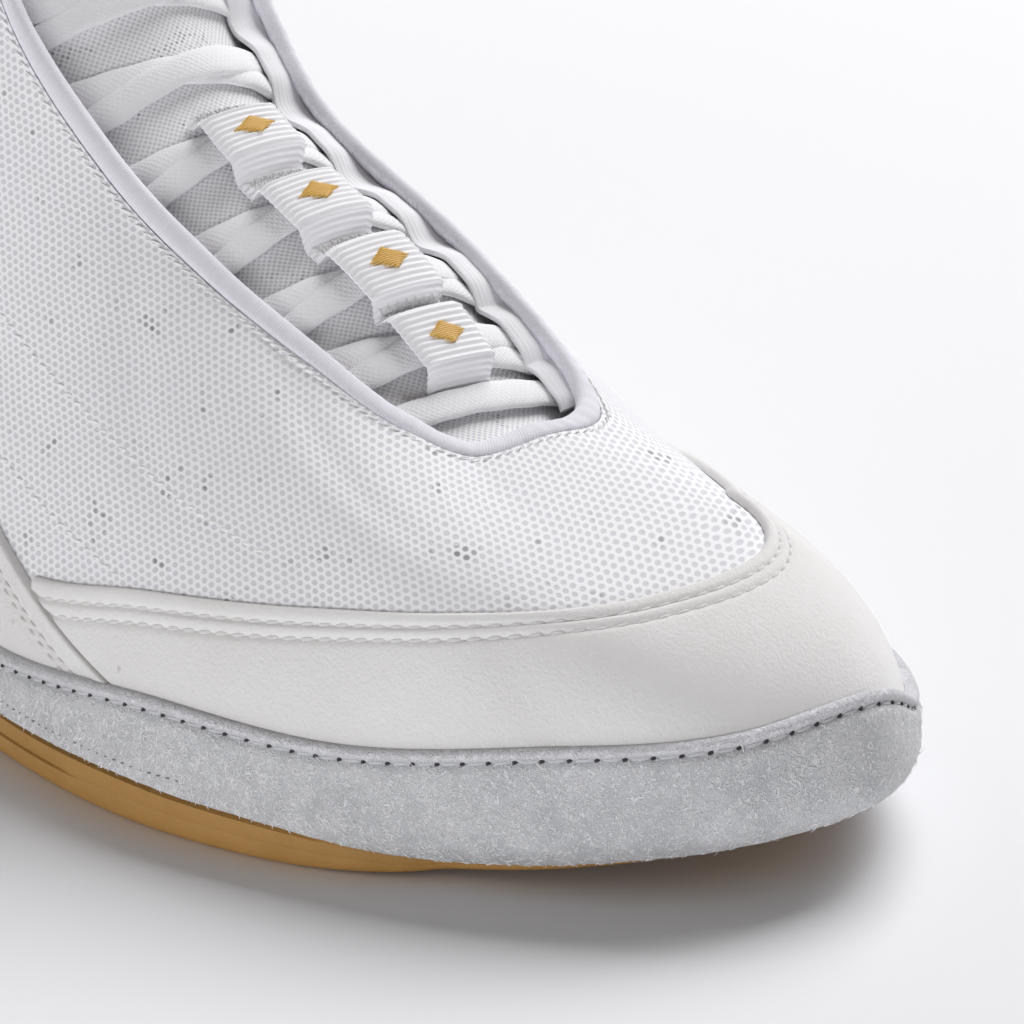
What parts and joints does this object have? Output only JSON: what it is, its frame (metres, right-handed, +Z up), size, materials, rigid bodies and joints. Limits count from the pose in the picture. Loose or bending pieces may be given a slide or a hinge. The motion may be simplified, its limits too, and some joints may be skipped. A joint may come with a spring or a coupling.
{
  "type": "wrestling shoe",
  "caption": "High-top lace-up wrestling shoe for the right foot: hollow mesh upper with suede overlays and rand, centre-laced tongue, thin gum rubber sole.",
  "frame": {"origin": "centre of the shoe's plan on the floor, at the bottom of its tread", "axes": "+X to the toe, +Y to the big toe side, which is the wearer's left, +Z up"},
  "size_m": [0.2821, 0.1045, 0.1582],
  "materials": {
    "mesh": "matte white open mesh",
    "tongue_mesh": "matte fine white mesh",
    "suede": "matte off-white brushed suede",
    "hairy_suede": "matte pale grey hairy suede",
    "gum_rubber": "satin gum rubber",
    "binding": "matte woven edge",
    "lace": "matte white flat lace",
    "webbing": "matte ribbed white webbing",
    "sockliner": "matte textile over foam"
  },
  "bodies": {
    "root": {"upper": "mesh", "insole": "sockliner", "outsole": "gum_rubber", "rand": "hairy_suede", "mudguard": "suede", "saddle_outer": "suede", "saddle_inner": "suede", "heel_counter": "suede", "throat_binding": "binding", "tongue": "tongue_mesh", "lace_bar": "lace", "lace_cross_1": "lace", "lace_cross_2": "lace", "lace_cross_3": "lace", "lace_cross_4": "lace", "lace_cross_5": "lace", "lace_cross_6": "lace", "lace_cross_7": "lace", "lace_keeper": "webbing", "lace_tape": "webbing"}
  },
  "joints": []
}
